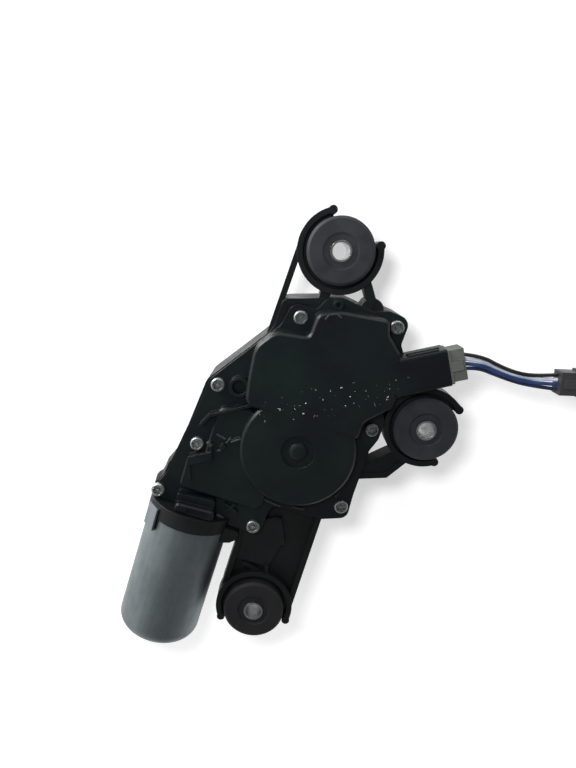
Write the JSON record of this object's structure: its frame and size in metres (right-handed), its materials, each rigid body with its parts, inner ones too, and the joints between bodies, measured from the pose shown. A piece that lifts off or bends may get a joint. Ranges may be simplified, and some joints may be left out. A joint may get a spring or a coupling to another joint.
{
  "type": "rear wiper motor",
  "caption": "Rear wiper motor with steel can, worm and gear train in a black case, output shaft, three rubber-mounted arms and a short harness stub.",
  "frame": {"origin": "on the output shaft's axis, at the seat of the wiper arm where the shaft's barrel ends", "axes": "+Z out of the gear cover along the shaft and the mounting bolts; +Y along the motor axis, from the steel can towards the gearbox"},
  "size_m": [0.1997, 0.2421, 0.0926],
  "materials": {
    "housing": "moulded black, glass filled",
    "cover": "moulded black with a slight green cast",
    "gasket": "smooth",
    "screw_steel": "zinc plated",
    "can_steel": "zinc plated, drawn",
    "magnet": "sintered ferrite",
    "bronze": "sintered bronze",
    "nylon": "natural nylon",
    "card": "moulded brown",
    "carbon": "pressed carbon",
    "spring_steel": "drawn wire",
    "core_iron": "stacked sheets",
    "copper": "enamelled copper",
    "shaft_steel": "ground",
    "gear_plastic": "acetal",
    "seal_rubber": "smooth",
    "board": "lacquered board",
    "board_parts": "moulded",
    "contact": "tinned brass",
    "plug": "moulded grey",
    "grommet_rubber": "matt, moulded",
    "sleeve_steel": "turned",
    "wire_black": "soft insulation",
    "wire_white": "soft insulation",
    "wire_blue": "soft insulation",
    "wire_dark": "soft insulation",
    "end_connector": "moulded black"
  },
  "bodies": {
    "root": {"gear_housing": "housing", "gear_cover": "cover", "cover_gasket": "gasket", "cover_screws": "screw_steel", "motor_can": "can_steel", "can_clips": "screw_steel", "magnets": "magnet", "rear_bush_holder": "spring_steel", "rear_bush": "bronze", "front_bush": "bronze", "tip_bush": "bronze", "thrust_pad": "nylon", "brush_card": "card", "carbon_brushes": "carbon", "brush_springs": "spring_steel", "idler_axle": "shaft_steel", "upper_output_bush": "bronze", "lower_output_bush": "bronze", "shaft_seal": "seal_rubber", "circuit_board": "board", "board_parts": "board_parts", "connector_pins": "contact", "connector_plug": "plug", "upper_grommet": "grommet_rubber", "side_grommet": "grommet_rubber", "lower_grommet": "grommet_rubber", "upper_sleeve": "sleeve_steel", "side_sleeve": "sleeve_steel", "lower_sleeve": "sleeve_steel", "wire_black": "wire_black", "wire_white": "wire_white", "wire_blue": "wire_blue", "wire_dark_blue": "wire_dark", "end_connector": "end_connector"},
    "armature": {"armature_shaft": "shaft_steel", "lamination_stack": "core_iron", "armature_windings": "copper", "commutator": "copper"},
    "idler": {"intermediate_gear": "gear_plastic"},
    "output": {"output_gear": "gear_plastic", "output_shaft": "shaft_steel", "retaining_ring": "spring_steel", "thrust_washer": "spring_steel"}
  },
  "joints": [
    {"name": "armature_spin", "type": "hinge", "parent": "root", "child": "armature", "pos_m": [-0.0418, -0.06, 0.055], "axis": [0, 1, 0], "range_deg": [-6600, 6600]},
    {"name": "idler_turn", "type": "hinge", "parent": "root", "child": "idler", "pos_m": [-0.022, -0.02324, 0.055], "axis": [0, 0, 1], "range_deg": [-166, 166]},
    {"name": "output_turn", "type": "hinge", "parent": "root", "child": "output", "pos_m": [0, 0, 0.04], "axis": [0, 0, 1], "range_deg": [-56, 56]}
  ],
  "couplings": [
    {"joint": "idler_turn", "follows": "armature_spin", "ratio": 0.025},
    {"joint": "output_turn", "follows": "armature_spin", "ratio": -0.0083333}
  ]
}
